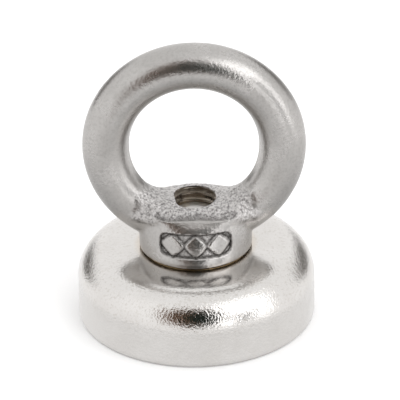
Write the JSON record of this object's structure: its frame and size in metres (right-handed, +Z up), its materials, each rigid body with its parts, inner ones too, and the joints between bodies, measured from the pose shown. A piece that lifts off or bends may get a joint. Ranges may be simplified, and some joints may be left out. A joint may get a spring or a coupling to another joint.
{
  "type": "magnet fishing magnet",
  "caption": "Round single-sided pot magnet with a threaded eye nut screwed on top for a rope, as used to pull iron out of water.",
  "frame": {"origin": "middle of the pull face, where the pot rests on the ground", "axes": "+Z up along the screw's axis towards the lifting ring; the ring stands in the XZ plane; the foot's recessed panel looks towards -Y"},
  "size_m": [0.048, 0.048, 0.0601],
  "materials": {
    "nickel_plated_steel": "bright nickel plate with faint orange peel",
    "magnet": "nickel-plated sintered neodymium",
    "potting_resin": "cast black resin",
    "bush_steel": "nickel-plated turned steel",
    "screw_steel": "stainless steel, rolled thread",
    "washer_steel": "plain steel shim",
    "cast_stainless": "cast stainless steel, tumbled and polished, rough on top of the foot"
  },
  "bodies": {
    "pot": {"steel_cup": "nickel_plated_steel", "ring_magnet": "magnet", "outer_gap_ring": "potting_resin", "inner_gap_ring": "potting_resin", "centre_bush": "bush_steel", "countersunk_screw": "screw_steel"},
    "washer": {"shim_washer": "washer_steel"},
    "nut": {"eye_nut": "cast_stainless"}
  },
  "joints": [
    {"name": "nut_lift", "type": "slide", "parent": "pot", "child": "washer", "axis": [0, 0, 1], "range_m": [0, 0.0069]},
    {"name": "nut_turn", "type": "hinge", "parent": "washer", "child": "nut", "pos_m": [0, 0, 0.0154], "axis": [0, 0, 1], "range_deg": [0, 1620]}
  ],
  "couplings": [
    {"joint": "nut_lift", "follows": "nut_turn", "m_per_rad": 0.00023873}
  ]
}
